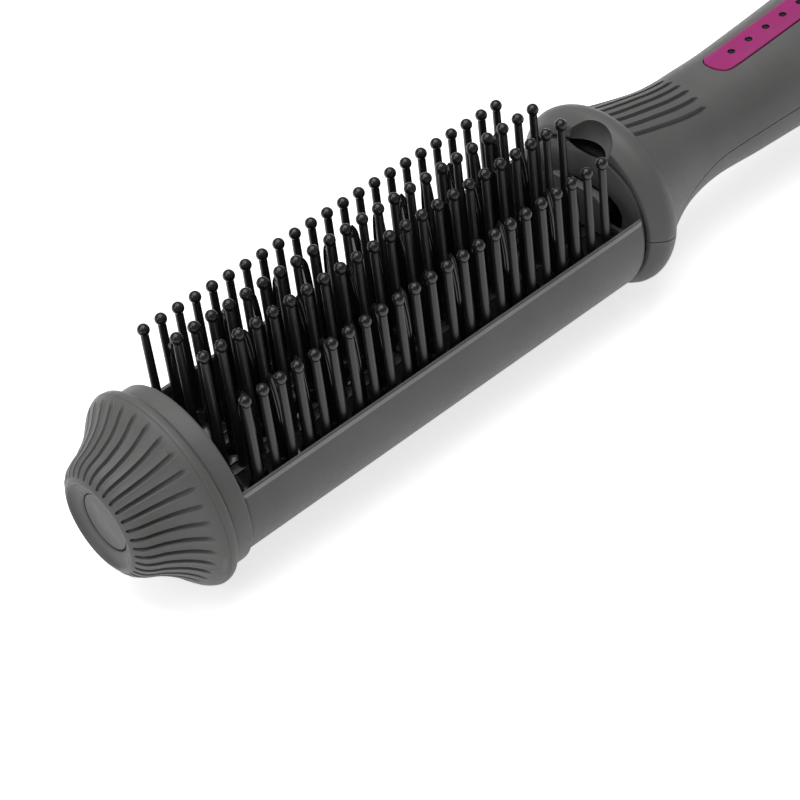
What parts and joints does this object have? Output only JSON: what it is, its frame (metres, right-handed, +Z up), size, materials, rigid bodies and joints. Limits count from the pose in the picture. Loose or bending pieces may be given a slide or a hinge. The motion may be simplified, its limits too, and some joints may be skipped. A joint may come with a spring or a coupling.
{
  "type": "hot air brush",
  "caption": "Hair-styling hot air brush: half-open bristle barrel with fluted tip, plugged into a round waisted handle with fan, heater, slider and push button.",
  "frame": {"origin": "middle of the brush's length and width, on the table plane that it rests on", "axes": "+X from the fluted tip to the handle's rear end, +Y to the left, +Z up through the bristles"},
  "size_m": [0.33, 0.0512, 0.0592],
  "materials": {
    "charcoal_plastic": "fine matt texture",
    "black_plastic": "satin",
    "gloss_black": "polished",
    "magenta_plastic": "soft satin",
    "aluminium": "plain",
    "steel": "plain",
    "mica": "layered mica sheet",
    "board_green": "solder mask"
  },
  "bodies": {
    "handle": {"handle_upper_shell": "charcoal_plastic", "handle_lower_shell": "charcoal_plastic", "shell_screw_front": "steel", "shell_screw_rear": "steel", "control_strip": "magenta_plastic", "socket_ring": "black_plastic", "heater_sleeve": "mica", "heater_frame": "mica", "heating_wire": "steel", "thermostat": "steel", "circuit_board": "board_green", "key_switch": "black_plastic", "slide_switch": "black_plastic", "motor": "steel", "motor_mount": "black_plastic", "dust_screen": "black_plastic", "rear_grille": "charcoal_plastic"},
    "head": {"tip_cone": "charcoal_plastic", "tip_plug": "charcoal_plastic", "tip_screw": "steel", "tip_flange": "charcoal_plastic", "barrel_shell": "charcoal_plastic", "bristle_bed": "black_plastic", "heat_plate": "aluminium", "outer_pin_strip_left": "black_plastic", "outer_pin_strip_right": "black_plastic", "inner_pin_strip_left": "black_plastic", "inner_pin_strip_right": "black_plastic", "fin_strip_left": "gloss_black", "fin_strip_centre": "gloss_black", "fin_strip_right": "gloss_black", "end_plate": "charcoal_plastic", "outlet_core": "charcoal_plastic"},
    "slider": {"speed_slider": "black_plastic"},
    "button": {"cool_button": "black_plastic"},
    "fan_rotor": {"motor_shaft": "steel", "fan": "black_plastic"},
    "gland": {"cord_gland": "black_plastic"}
  },
  "joints": [
    {"name": "head_plug", "type": "slide", "parent": "handle", "child": "head", "axis": [-1, 0, 0], "range_m": [0, 0.014]},
    {"name": "slider_travel", "type": "slide", "parent": "handle", "child": "slider", "axis": [0.9921, 0, 0.1252], "range_m": [0, 0.0078]},
    {"name": "cool_button_press", "type": "slide", "parent": "handle", "child": "button", "axis": [0, 0, -1], "range_m": [0, 0.001], "stiffness_N_per_m": 400, "springref_m": -0.001},
    {"name": "fan_spin", "type": "hinge", "parent": "handle", "child": "fan_rotor", "pos_m": [0.14125, 0, 0.0252], "axis": [1, 0, 0], "continuous": true},
    {"name": "gland_swivel", "type": "hinge", "parent": "handle", "child": "gland", "pos_m": [0.15735, 0, 0.0252], "axis": [1, 0, 0], "continuous": true}
  ]
}
